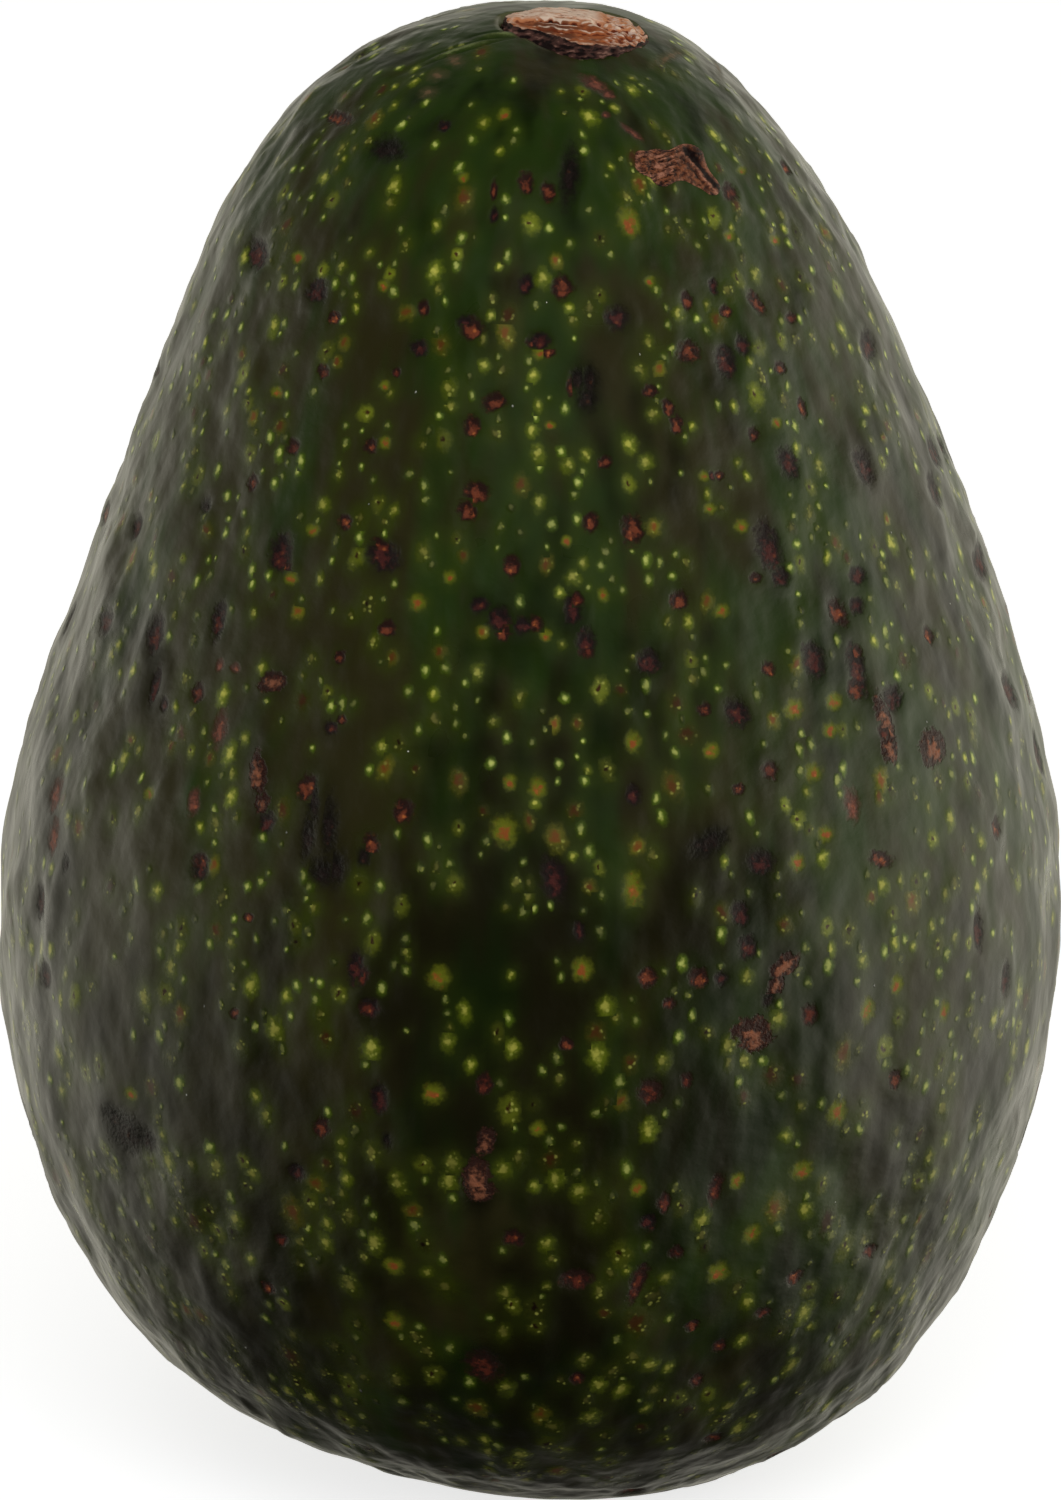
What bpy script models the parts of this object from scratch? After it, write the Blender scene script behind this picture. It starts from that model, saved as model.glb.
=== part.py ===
"""A whole avocado standing on its blunt blossom end, with its dried stem button.

Metres, +Z up along the fruit, origin on the surface it stands on, below the middle of its outline.
+X is the side that the stem leans to, and -Y is the front.
"""

import math

import bpy
import numpy as np
from mathutils import Matrix, Vector, noise

MM = 0.001

# Driving dimensions of the fruit, in millimetres
FRUIT_WIDTH = 70.0
FRUIT_DEPTH = 68.0
FRUIT_HEIGHT = 98.95
FLAT_SPOT_RADIUS = 7.0

# The fruit isn't quite straight: its middle lies this far to +X at the foot, in the neck and at the crown
FOOT_SHIFT, FOOT_REACH = 2.9, 6.5
NECK_SHIFT, NECK_HEIGHT, NECK_REACH = 0.45, 64.0, 14.0
CROWN_SHIFT, CROWN_START, CROWN_REACH = 0.05, 74.0, 12.0
# The very top leans over to +X, from this far left of the middle and out to this radius
TOP_LEAN, TOP_LEAN_START, TOP_LEAN_REACH = 3.2, 4.0, 13.0

# The side of the fruit as (radius, height), up from the edge of the flat spot to the crown
OUTLINE = [
    (FLAT_SPOT_RADIUS, 0.0),
    (11.3, 0.9),
    (16.3, 3.0),
    (24.0, 8.0),
    (30.5, 17.0),
    (34.4, 29.0),
    (FRUIT_WIDTH / 2, 38.0),
    (34.2, 46.5),
    (32.1, 54.5),
    (29.35, 62.5),
    (26.2, 71.0),
    (22.95, 79.0),
    (19.9, 86.0),
    (15.3, 92.6),
    (9.85, 96.75),
    (3.3, FRUIT_HEIGHT - 0.25),
    (0.0, FRUIT_HEIGHT),
]

# Low relief of the skin: broad lumps, and pebbles stretched along the fruit
LUMP_LENGTH, LUMP_HEIGHT = 17.0, 0.35
PEBBLE_LENGTH, PEBBLE_HEIGHT = 5.2, 0.55
PEBBLE_STRETCH = 1.5
WARP_SHIFTS = ((0.0, 0.0, 0.0), (31.4, 17.8, 5.3), (11.9, 47.2, 23.6))  # where in the noise each part is taken
RELIEF_FADE_HEIGHT = 5.0  # the relief dies out above the flat spot, so that it stays flat

# The stem button is a plug of cork in a shallow socket beside the crown: an oval with a point at its left end
STEM_CENTRE = (2.8, -3.2, 97.9)
STEM_TILT_RIGHT = math.radians(5.5)
STEM_TILT_FRONT = math.radians(3.0)
BUTTON_HALF_WIDTH, BUTTON_HALF_DEPTH = 4.8, 4.0
# How much the oval is filled out in each quarter: back right, back left, front left and front right
QUARTER_FULLNESS = (0.35, -0.1, -0.75, -0.25)
BUTTON_ROOT = 1.3  # how far the plug goes below the skin
SOCKET_GAP = 0.3
SOCKET_DEPTH = BUTTON_ROOT + SOCKET_GAP
SOCKET_EDGE = 0.5  # width of the skin's rolled edge round the socket
SOCKET_LIP_DEPTH = 0.2  # how far the edge rolls in before the socket's straight wall
SOCKET_DIP = 0.35  # the skin draws in slightly round the button
SOCKET_DIP_REACH = 4.0
CALM_REACH = 9.0  # the skin is smooth round the stem, out to this far from the button

# Mesh fineness
SIDES = 100
SKIN_RINGS = 52
BUTTON_SIDES = 44
SLOPE_STEP = 0.004  # share of the outline, and radians, over which the skin's slope is taken
CROWN_SHARE = 0.22  # the last part of the outline, where the rings move over to the stem


def natural_spline(knots, values, samples):
    """Values of the natural cubic spline through (knots, values) at the samples."""
    knots, values, samples = map(np.asarray, (knots, values, samples))
    steps = np.diff(knots)
    slopes = np.diff(values) / steps
    count = len(knots)
    system = np.eye(count)
    right_side = np.zeros(count)
    for i in range(1, count - 1):
        system[i, i - 1:i + 2] = steps[i - 1], 2 * (steps[i - 1] + steps[i]), steps[i]
        right_side[i] = 6 * (slopes[i] - slopes[i - 1])
    bend = np.linalg.solve(system, right_side)
    i = np.clip(np.searchsorted(knots, samples, side="right") - 1, 0, count - 2)
    t = samples - knots[i]
    return (
        values[i]
        + t * (slopes[i] - steps[i] * (2 * bend[i] + bend[i + 1]) / 6)
        + t ** 2 * bend[i] / 2
        + t ** 3 * (bend[i + 1] - bend[i]) / (6 * steps[i])
    )


def outline_curve(count=2000):
    """The outline as arrays of radius and height, evenly spaced along its own length."""
    past_crown = [(-radius, height) for radius, height in OUTLINE[-2:-5:-1]]
    points = np.array(OUTLINE + past_crown)
    chords = np.concatenate([[0], np.cumsum(np.hypot(*np.diff(points, axis=0).T))])
    dense = np.linspace(0, chords[len(OUTLINE) - 1], 4 * count)
    radius = natural_spline(chords, points[:, 0], dense)
    height = natural_spline(chords, points[:, 1], dense)
    along = np.concatenate([[0], np.cumsum(np.hypot(np.diff(radius), np.diff(height)))])
    even = np.linspace(0, along[-1], count)
    return np.interp(even, along, radius), np.interp(even, along, height), along[-1]


CURVE_RADIUS, CURVE_HEIGHT, CURVE_LENGTH = outline_curve()


def smooth_step(value):
    value = min(max(value, 0.0), 1.0)
    return value * value * (3 - 2 * value)


def middle_shift(height):
    """How far the fruit's middle lies to +X at this height."""
    foot = FOOT_SHIFT * math.exp(-((height / FOOT_REACH) ** 1.3))
    neck = NECK_SHIFT * math.exp(-(((height - NECK_HEIGHT) / NECK_REACH) ** 2))
    crown = CROWN_SHIFT * smooth_step((height - CROWN_START) / CROWN_REACH)
    return foot + neck + crown


def crown_height(x, y):
    """Height of the crown's skin above the point x, y."""
    side, depth = x - middle_shift(FRUIT_HEIGHT), y * FRUIT_WIDTH / FRUIT_DEPTH
    fading = 1 - smooth_step(math.hypot(side, depth) / TOP_LEAN_REACH)
    lean = TOP_LEAN * smooth_step(0.5 + 0.5 * side / TOP_LEAN_START) * fading
    across = math.hypot(side - lean, depth)
    upper = CURVE_HEIGHT > 60.0
    return float(np.interp(-across, -CURVE_RADIUS[upper], CURVE_HEIGHT[upper]))


def skin_point(share, angle):
    """A point of the smooth skin: share runs from the flat spot's edge, 0, to the crown, 1."""
    place = share * (len(CURVE_RADIUS) - 1)
    index = np.arange(len(CURVE_RADIUS))
    radius = float(np.interp(place, index, CURVE_RADIUS))
    height = float(np.interp(place, index, CURVE_HEIGHT))
    x = middle_shift(height) + radius * math.cos(angle)
    y = radius * math.sin(angle) * FRUIT_DEPTH / FRUIT_WIDTH
    to_stem = smooth_step((share - 1 + CROWN_SHARE) / CROWN_SHARE)
    if to_stem > 0:
        x += to_stem * (STEM_CENTRE[0] - middle_shift(height))
        y += to_stem * STEM_CENTRE[1]
        height = crown_height(x, y)
    return Vector((x, y, height))


def skin_relief(point, along):
    """Height of the lumps and pebbles at a point of the skin, along the outline at this length."""
    lumps = noise.noise(point / LUMP_LENGTH + Vector((3.1, 7.7, 1.9)))
    stretched = Vector((point.x, point.y, along / PEBBLE_STRETCH)) / PEBBLE_LENGTH
    warp = Vector([noise.noise(point / (2.5 * PEBBLE_LENGTH) + Vector(shift)) for shift in WARP_SHIFTS])
    pebbles = noise.noise(stretched + 0.45 * warp)
    fade = smooth_step(point.z / RELIEF_FADE_HEIGHT)
    from_stem = (point - Vector(STEM_CENTRE)).length - BUTTON_HALF_WIDTH
    rough = smooth_step(from_stem / CALM_REACH)
    dip = SOCKET_DIP * (1 - smooth_step(from_stem / SOCKET_DIP_REACH))
    if point.z < FRUIT_HEIGHT / 2:
        dip = 0.0
    return fade * rough * (LUMP_HEIGHT * lumps + PEBBLE_HEIGHT * pebbles) - dip


def stem_frame():
    """The stem's place and lean: its own +Z runs out of the fruit."""
    lean = Matrix.Rotation(STEM_TILT_RIGHT, 4, "Y") @ Matrix.Rotation(STEM_TILT_FRONT, 4, "X")
    return Matrix.Translation(STEM_CENTRE) @ lean


def button_reach(angle):
    """How far the button's torn edge lies from its middle."""
    oval = 1 / math.hypot(math.cos(angle) / BUTTON_HALF_WIDTH, math.sin(angle) / BUTTON_HALF_DEPTH)
    fullness = QUARTER_FULLNESS[int(angle / (math.pi / 2)) % 4] * math.sin(2 * angle) ** 2
    torn = 0.1 * math.sin(5 * angle + 0.6) + 0.07 * math.sin(9 * angle + 2.0)
    return oval + fullness + torn


def button_ring(size, margin, height, sides):
    """Points level round the stem's own axis, at this share of the button's reach and this margin outside it."""
    angles = [2 * math.pi * i / sides for i in range(sides)]
    reach = [size * button_reach(a) + margin for a in angles]
    return [Vector((r * math.cos(a), r * math.sin(a), height)) for r, a in zip(reach, angles)]


def relief_point(share, angle):
    """A point of the skin with its relief, which stands along the skin's own normal."""
    upward = skin_point(min(share + SLOPE_STEP, 1.0), angle) - skin_point(share - SLOPE_STEP, angle)
    around = skin_point(share, angle + SLOPE_STEP) - skin_point(share, angle - SLOPE_STEP)
    point = skin_point(share, angle)
    return point + skin_relief(point, share * CURVE_LENGTH) * around.cross(upward).normalized()


def skin_rings():
    """Rings of relief skin from just above the flat spot to the edge of the socket."""
    rim_share = 1 - (BUTTON_HALF_WIDTH + SOCKET_GAP + SOCKET_EDGE) / CURVE_LENGTH
    shares = [rim_share * ring / SKIN_RINGS for ring in range(1, SKIN_RINGS + 1)]
    angles = [2 * math.pi * side / SIDES for side in range(SIDES)]
    return [[relief_point(share, angle) for angle in angles] for share in shares]


def fruit_rings():
    """All rings of the fruit, from the flat spot to the floor of the stem's socket."""
    flat = [skin_point(0.0, 2 * math.pi * side / SIDES) for side in range(SIDES)]
    for point in flat:
        point.z = 0.0
    to_fruit = stem_frame()
    rim = [to_fruit @ p for p in button_ring(1.0, SOCKET_GAP, -SOCKET_LIP_DEPTH, SIDES)]
    floor = [to_fruit @ p for p in button_ring(1.0, SOCKET_GAP, -SOCKET_DEPTH, SIDES)]
    return [flat, *skin_rings(), rim, floor]


def button_rings():
    """Rings of the cork button in the stem's own frame, root first: a drawn-in wall, a torn rim and a dished top."""
    steps = [
        (0.93, -BUTTON_ROOT, 0.0),
        (1.0, -0.75 * BUTTON_ROOT, 0.0),
        (1.0, -0.1, 0.0),
        (1.03, 0.25, 0.05),
        (0.99, 0.58, 0.12),
        (0.86, 0.7, 0.14),
        (0.66, 0.5, 0.18),
        (0.42, 0.55, 0.2),
        (0.18, 0.7, 0.14),
    ]
    rings = []
    for size, height, roughness in steps:
        ring = button_ring(size, 0.0, height, BUTTON_SIDES)
        for point in ring:
            point.z += 2 * roughness * noise.noise(point * 0.9 + Vector((5.0, 2.0, 0.0)))
        rings.append(ring)
    return rings


def solid_from_rings(name, rings, material):
    """One closed object whose skin joins the rings in turn, with a flat face over each end."""
    sides = len(rings[0])
    points = [tuple(MM * p) for ring in rings for p in ring]
    faces = [tuple(reversed(range(sides)))]
    for lower in range(len(rings) - 1):
        start = lower * sides
        for side in range(sides):
            following = (side + 1) % sides
            faces.append((
                start + side, start + following, start + sides + following, start + sides + side,
            ))
    last = (len(rings) - 1) * sides
    faces.append(tuple(range(last, last + sides)))
    mesh = bpy.data.meshes.new(name)
    mesh.from_pydata(points, [], faces)
    mesh.shade_smooth()
    mesh.set_sharp_from_angle(angle=math.radians(50))
    mesh.materials.append(material)
    piece = bpy.data.objects.new(name, mesh)
    bpy.context.scene.collection.objects.link(piece)
    return piece


def plain_material(name, colour, roughness):
    material = bpy.data.materials.new(name)
    material.use_nodes = True
    shader = material.node_tree.nodes["Principled BSDF"]
    shader.inputs["Base Color"].default_value = (*colour, 1.0)
    shader.inputs["Roughness"].default_value = roughness
    shader.inputs["Metallic"].default_value = 0.0
    return material


def main():
    for old in list(bpy.data.objects):
        bpy.data.objects.remove(old)
    skin = plain_material("skin", (0.022, 0.034, 0.009), 0.42)
    cork = plain_material("cork", (0.32, 0.15, 0.07), 0.85)
    solid_from_rings("fruit", fruit_rings(), skin)
    button = solid_from_rings("stem_button", button_rings(), cork)
    place = stem_frame()
    button.location = MM * place.translation
    button.rotation_euler = place.to_euler()


main()
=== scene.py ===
"""The looks of a whole avocado: pebbled skin with pale dots and rust spots, and a torn, dried stem button."""
import math
import random

import bpy
import numpy as np
from mathutils import Matrix, Vector, kdtree, noise
from mathutils.bvhtree import BVHTree


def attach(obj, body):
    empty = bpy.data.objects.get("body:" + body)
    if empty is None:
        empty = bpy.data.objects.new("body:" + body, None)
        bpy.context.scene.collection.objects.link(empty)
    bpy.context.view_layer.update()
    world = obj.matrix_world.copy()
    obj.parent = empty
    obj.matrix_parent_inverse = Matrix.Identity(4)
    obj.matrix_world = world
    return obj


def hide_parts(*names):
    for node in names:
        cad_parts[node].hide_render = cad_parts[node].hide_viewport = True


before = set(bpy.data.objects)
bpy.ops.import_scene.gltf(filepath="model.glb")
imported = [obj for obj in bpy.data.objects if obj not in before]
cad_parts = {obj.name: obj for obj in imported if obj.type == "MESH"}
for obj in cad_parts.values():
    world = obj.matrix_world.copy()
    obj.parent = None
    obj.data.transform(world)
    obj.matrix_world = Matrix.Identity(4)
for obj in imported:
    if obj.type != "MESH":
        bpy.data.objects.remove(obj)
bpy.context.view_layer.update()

MM = 0.001

# The view, with the photograph's frame in pixels
PHOTO_WIDTH, PHOTO_HEIGHT = 1061, 1500
VIEW_ELEVATION = math.radians(16)
VIEW_DISTANCE = 0.9
VIEW_AIM = Vector((0.0, 0.0, 0.04914))
VIEW_TALL = 0.09856  # metres that the frame's height takes in at the aim
VIEW_BACK = Vector((0, -math.cos(VIEW_ELEVATION), math.sin(VIEW_ELEVATION)))
VIEW_UP = Vector((0, math.sin(VIEW_ELEVATION), math.cos(VIEW_ELEVATION)))
VIEW_RIGHT = Vector((1, 0, 0))
FOCAL = PHOTO_HEIGHT * VIEW_DISTANCE / VIEW_TALL  # the lens's length in the photograph's pixels
SENSOR = 36.0

# The fruit's form, in millimetres, as the CAD model has it
FRUIT_WIDTH = 70.0
FRUIT_DEPTH = 68.0
FRUIT_HEIGHT = 98.95
FLAT_SPOT_RADIUS = 7.0
FOOT_SHIFT, FOOT_REACH = 2.9, 6.5
NECK_SHIFT, NECK_HEIGHT, NECK_REACH = 0.45, 64.0, 14.0
CROWN_SHIFT, CROWN_START, CROWN_REACH = 0.05, 74.0, 12.0
TOP_LEAN, TOP_LEAN_START, TOP_LEAN_REACH = 3.2, 4.0, 13.0
OUTLINE = [
    (FLAT_SPOT_RADIUS, 0.0),
    (11.3, 0.9),
    (16.3, 3.0),
    (24.0, 8.0),
    (30.5, 17.0),
    (34.4, 29.0),
    (FRUIT_WIDTH / 2, 38.0),
    (34.2, 46.5),
    (32.1, 54.5),
    (29.35, 62.5),
    (26.2, 71.0),
    (22.95, 79.0),
    (19.9, 86.0),
    (15.3, 92.6),
    (9.85, 96.75),
    (3.3, FRUIT_HEIGHT - 0.25),
    (0.0, FRUIT_HEIGHT),
]
STEM_CENTRE = Vector((2.8, -3.2, 97.9))
STEM_TILT_RIGHT = math.radians(5.5)
STEM_TILT_FRONT = math.radians(3.0)
BUTTON_HALF_WIDTH, BUTTON_HALF_DEPTH = 4.8, 4.0
QUARTER_FULLNESS = (0.35, -0.1, -0.75, -0.25)
SOCKET_GAP = 0.04
SOCKET_DIP, SOCKET_DIP_REACH = 0.12, 4.0
CALM_REACH = 9.0
CROWN_SHARE = 0.22

# Relief of the skin, in millimetres
LUMP_LENGTH, LUMP_HEIGHT = 17.0, 0.10
PEBBLE_LENGTH, PEBBLE_HEIGHT = 4.4, 0.30
PEBBLE_STRETCH = 1.4
RIPPLE_LENGTH, RIPPLE_HEIGHT = 2.2, 0.20
GRAIN_STRETCH = 1.8
WARP_SHIFTS = ((0.0, 0.0, 0.0), (31.4, 17.8, 5.3), (11.9, 47.2, 23.6))  # where in the noise each part is taken
RELIEF_FADE_HEIGHT = 5.0
SHOULDER_TRIM, SHOULDER_HEIGHT, SHOULDER_REACH = 0.5, 90.0, 8.0  # the photo's fruit is slimmer on the right
HIP_TRIM, HIP_HEIGHT, HIP_REACH = 0.4, 25.0, 11.0

# Fineness of the skin's mesh
SIDES = 400
FLAT_RINGS = 2
SKIN_RINGS = 222
RIM_RINGS = 16
RIM_REACH = 8.0  # the last millimetres before the stem, where the rings draw in to the button's outline


def camera_and_stage():
    """The photograph's view of the fruit, on a plain pale floor in soft light."""
    scene = bpy.context.scene
    camera = bpy.data.objects.new("camera", bpy.data.cameras.new("camera"))
    camera.location = VIEW_AIM + VIEW_DISTANCE * VIEW_BACK
    camera.rotation_euler = (-VIEW_BACK).to_track_quat("-Z", "Y").to_euler()
    camera.data.sensor_fit = "VERTICAL"
    camera.data.sensor_height = SENSOR
    camera.data.lens = SENSOR * VIEW_DISTANCE / VIEW_TALL
    camera.data.clip_start = 0.05
    scene.collection.objects.link(camera)
    scene.camera = camera
    scene.view_settings.view_transform = "Standard"
    fill = soft_box("front_light", (0.05, -1.15, 0.90), (1.1, 1.1), 3.1)
    fill.visible_glossy = False
    floor()
    surroundings()


def soft_box(name, place, size, brightness):
    """A soft rectangular light that faces the fruit. brightness is its own, 1 as white as white paper."""
    lamp_data = bpy.data.lights.new(name, "AREA")
    lamp_data.shape = "RECTANGLE"
    lamp_data.size, lamp_data.size_y = size
    lamp_data.energy = brightness * math.pi * size[0] * size[1]
    lamp = bpy.data.objects.new(name, lamp_data)
    lamp.location = place
    lamp.rotation_euler = (VIEW_AIM - lamp.location).to_track_quat("-Z", "Y").to_euler()
    bpy.context.scene.collection.objects.link(lamp)
    return lamp


def floor():
    bpy.ops.mesh.primitive_plane_add(size=12)
    plane = bpy.context.active_object
    plane.name = "floor"
    plane.visible_glossy = False
    plane.visible_diffuse = False
    paint = Paint("pale_floor")
    paint.shader.inputs["Base Color"].default_value = (0.84, 0.85, 0.88, 1)
    paint.shader.inputs["Roughness"].default_value = 0.9
    paint.shader.inputs["Emission Color"].default_value = (1, 1, 1, 1)
    paint.shader.inputs["Emission Strength"].default_value = 0.75
    plane.data.materials.append(paint.material)


def surroundings():
    """White to the eye. In reflections the room is bright behind and beside the fruit, and dark in front."""
    world = bpy.data.worlds.new("surroundings")
    world.use_nodes = True
    bpy.context.scene.world = world
    room = NodeTree(world.node_tree)
    direction = room.add("ShaderNodeTexCoord").outputs["Generated"]
    across, depth, height = room.parts(direction)
    beside = room.times(room.math("ABSOLUTE", across), 0.55)
    beside = room.math("ADD", beside, room.between(across, -0.4, 0.8, -0.10, 0.11))
    behind = room.scaled(depth, 0.5, beside)
    glow = room.between(behind, -0.25, 0.75, 0.03, 1.08)
    below = room.between(height, -0.35, -0.85, 1.0, 0.1)
    above = room.between(height, -0.05, 0.7, 1.0, 0.2)
    left_and_up = room.times(room.between(across, 0.0, -0.4), room.between(height, -0.12, 0.3))
    upper_left = room.between(left_and_up, 0.0, 1.0, 1.0, 0.62)
    right_wall = room.between(across, 0.7, 0.97, 1.0, 1.35)
    for share in (below, above, upper_left, right_wall):
        glow = room.times(glow, share)
    dim = room.nodes["Background"]
    dim.inputs["Color"].default_value = (1.0, 0.965, 0.81, 1)
    room.put(dim.inputs["Strength"], glow)
    white = room.add("ShaderNodeBackground")
    white.inputs["Color"].default_value = (1, 1, 1, 1)
    seen = room.add("ShaderNodeLightPath").outputs["Is Camera Ray"]
    choice = room.add("ShaderNodeMixShader", {0: seen, 1: dim.outputs[0], 2: white.outputs[0]})
    room.links.new(choice.outputs[0], room.nodes["World Output"].inputs["Surface"])


# Short calls for building nodes

def light(red, green, blue):
    """A colour as seen on a screen, 0 to 255, as the light value that a shader takes."""
    def one(value):
        value = min(max(value, 0), 255) / 255
        return value / 12.92 if value <= 0.04045 else ((value + 0.055) / 1.055) ** 2.4
    return (one(red), one(green), one(blue), 1.0)


class NodeTree:
    """Calls that add nodes to a tree. Lengths in its textures are in millimetres."""

    def __init__(self, tree):
        self.nodes, self.links = tree.nodes, tree.links

    def add(self, kind, inputs=None, **settings):
        node = self.nodes.new(kind)
        for key, value in settings.items():
            setattr(node, key, value)
        for key, value in (inputs or {}).items():
            self.put(node.inputs[key], value)
        return node

    def put(self, socket, value):
        if isinstance(value, bpy.types.NodeSocket):
            self.links.new(value, socket)
        else:
            socket.default_value = value

    def math(self, operation, a, b=0.0, c=0.0):
        return self.add("ShaderNodeMath", {0: a, 1: b, 2: c}, operation=operation).outputs[0]

    def times(self, a, b):
        return self.math("MULTIPLY", a, b)

    def scaled(self, value, share, shift):
        """value times share, plus shift."""
        return self.math("MULTIPLY_ADD", value, share, shift)

    def vector_math(self, operation, a, b=(0, 0, 0)):
        node = self.add("ShaderNodeVectorMath", {0: a, 1: b}, operation=operation)
        return node.outputs["Value" if operation == "LENGTH" else "Vector"]

    def mix(self, share, a, b, blend="MIX"):
        node = self.add("ShaderNodeMix", data_type="RGBA", blend_type=blend)
        for socket, value in zip((node.inputs[0], node.inputs[6], node.inputs[7]), (share, a, b)):
            self.put(socket, value)
        return node.outputs[2]

    def between(self, value, low, high, start=0.0, end=1.0):
        """value's place between low and high, given smoothly as start to end and held at both."""
        node = self.add(
            "ShaderNodeMapRange", {0: value, 1: low, 2: high, 3: start, 4: end},
            interpolation_type="SMOOTHSTEP",
        )
        return node.outputs[0]

    def noise(self, place, length, detail=2.0, roughness=0.5, output="Fac"):
        """Noise whose lumps are about this many millimetres across, 0 to 1."""
        node = self.add(
            "ShaderNodeTexNoise",
            {"Vector": place, "Scale": 1 / length, "Detail": detail, "Roughness": roughness},
        )
        return node.outputs[output]

    def attribute(self, name, output="Vector"):
        return self.add("ShaderNodeAttribute", attribute_name=name).outputs[output]

    def parts(self, vector):
        return tuple(self.add("ShaderNodeSeparateXYZ", {0: vector}).outputs)

    def joined(self, x, y, z=0.0):
        return self.add("ShaderNodeCombineXYZ", {0: x, 1: y, 2: z}).outputs[0]


class Paint(NodeTree):
    """A new material, with its shader."""

    def __init__(self, name):
        self.material = bpy.data.materials.new(name)
        self.material.use_nodes = True
        super().__init__(self.material.node_tree)
        self.shader = self.nodes["Principled BSDF"]

    def place_in_mm(self):
        place = self.add("ShaderNodeTexCoord").outputs["Object"]
        return self.vector_math("MULTIPLY", place, (1000, 1000, 1000))

    def bump(self, height_in_mm, strength=1.0):
        node = self.add("ShaderNodeBump", {"Strength": strength, "Distance": MM, "Height": height_in_mm})
        self.links.new(node.outputs["Normal"], self.shader.inputs["Normal"])


# The fruit's form

def natural_spline(knots, values, samples):
    """Values of the natural cubic spline through (knots, values) at the samples."""
    knots, values, samples = map(np.asarray, (knots, values, samples))
    steps = np.diff(knots)
    slopes = np.diff(values) / steps
    count = len(knots)
    system = np.eye(count)
    right_side = np.zeros(count)
    for i in range(1, count - 1):
        system[i, i - 1:i + 2] = steps[i - 1], 2 * (steps[i - 1] + steps[i]), steps[i]
        right_side[i] = 6 * (slopes[i] - slopes[i - 1])
    bend = np.linalg.solve(system, right_side)
    i = np.clip(np.searchsorted(knots, samples, side="right") - 1, 0, count - 2)
    t = samples - knots[i]
    return (
        values[i]
        + t * (slopes[i] - steps[i] * (2 * bend[i] + bend[i + 1]) / 6)
        + t ** 2 * bend[i] / 2
        + t ** 3 * (bend[i + 1] - bend[i]) / (6 * steps[i])
    )


def outline_curve(count=2000):
    """The outline as arrays of radius and height, evenly spaced along its own length."""
    past_crown = [(-radius, height) for radius, height in OUTLINE[-2:-5:-1]]
    points = np.array(OUTLINE + past_crown)
    chords = np.concatenate([[0], np.cumsum(np.hypot(*np.diff(points, axis=0).T))])
    dense = np.linspace(0, chords[len(OUTLINE) - 1], 4 * count)
    radius = natural_spline(chords, points[:, 0], dense)
    height = natural_spline(chords, points[:, 1], dense)
    along = np.concatenate([[0], np.cumsum(np.hypot(np.diff(radius), np.diff(height)))])
    even = np.linspace(0, along[-1], count)
    return np.interp(even, along, radius), np.interp(even, along, height), along[-1]


CURVE_RADIUS, CURVE_HEIGHT, CURVE_LENGTH = outline_curve()


def smooth_step(value):
    value = np.clip(value, 0.0, 1.0)
    return value * value * (3 - 2 * value)


def bell(value, width):
    return np.exp(-((value / width) ** 2))


def middle_shift(height):
    """How far the fruit's middle lies to +X at this height."""
    foot = FOOT_SHIFT * np.exp(-((np.maximum(height, 0) / FOOT_REACH) ** 1.3))
    neck = NECK_SHIFT * np.exp(-(((height - NECK_HEIGHT) / NECK_REACH) ** 2))
    crown = CROWN_SHIFT * smooth_step((height - CROWN_START) / CROWN_REACH)
    return foot + neck + crown


def crown_height(x, y):
    """Height of the crown's skin above the points x, y."""
    side, depth = x - middle_shift(FRUIT_HEIGHT), y * FRUIT_WIDTH / FRUIT_DEPTH
    fading = 1 - smooth_step(np.hypot(side, depth) / TOP_LEAN_REACH)
    lean = TOP_LEAN * smooth_step(0.5 + 0.5 * side / TOP_LEAN_START) * fading
    upper = CURVE_HEIGHT > 60.0
    return np.interp(-np.hypot(side - lean, depth), -CURVE_RADIUS[upper], CURVE_HEIGHT[upper])


def button_reach(angle):
    """How far the button's torn edge lies from its middle."""
    oval = 1 / np.hypot(np.cos(angle) / BUTTON_HALF_WIDTH, np.sin(angle) / BUTTON_HALF_DEPTH)
    quarter = (angle / (math.pi / 2)).astype(int) % 4
    fullness = np.array(QUARTER_FULLNESS)[quarter] * np.sin(2 * angle) ** 2
    torn = 0.1 * np.sin(5 * angle + 0.6) + 0.07 * np.sin(9 * angle + 2.0)
    return oval + fullness + torn


def skin_points(shares, angles):
    """Points of the smooth skin: shares run from the flat spot's edge, 0, to the crown, 1."""
    place = shares * (len(CURVE_RADIUS) - 1)
    index = np.arange(len(CURVE_RADIUS))
    radius = np.interp(place, index, CURVE_RADIUS)[:, None]
    height = np.interp(place, index, CURVE_HEIGHT)[:, None]
    shift = middle_shift(height)
    to_stem = smooth_step((shares - 1 + CROWN_SHARE) / CROWN_SHARE)[:, None]
    x = shift + radius * np.cos(angles) + to_stem * (STEM_CENTRE.x - shift)
    y = radius * np.sin(angles) * FRUIT_DEPTH / FRUIT_WIDTH + to_stem * STEM_CENTRE.y
    from_pole = (1 - shares[:, None]) * CURVE_LENGTH
    near = smooth_step((RIM_REACH - from_pole) / (RIM_REACH - BUTTON_HALF_WIDTH))
    fit = 1 + near * ((button_reach(angles)[None, :] + SOCKET_GAP) / BUTTON_HALF_WIDTH - 1)
    x = np.where(near > 0, STEM_CENTRE.x + (x - STEM_CENTRE.x) * fit, x)
    y = np.where(near > 0, STEM_CENTRE.y + (y - STEM_CENTRE.y) * fit, y)
    z = np.where(to_stem > 0, crown_height(x, y), height + 0 * x)
    return np.stack([x, y, z], axis=-1)


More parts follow.
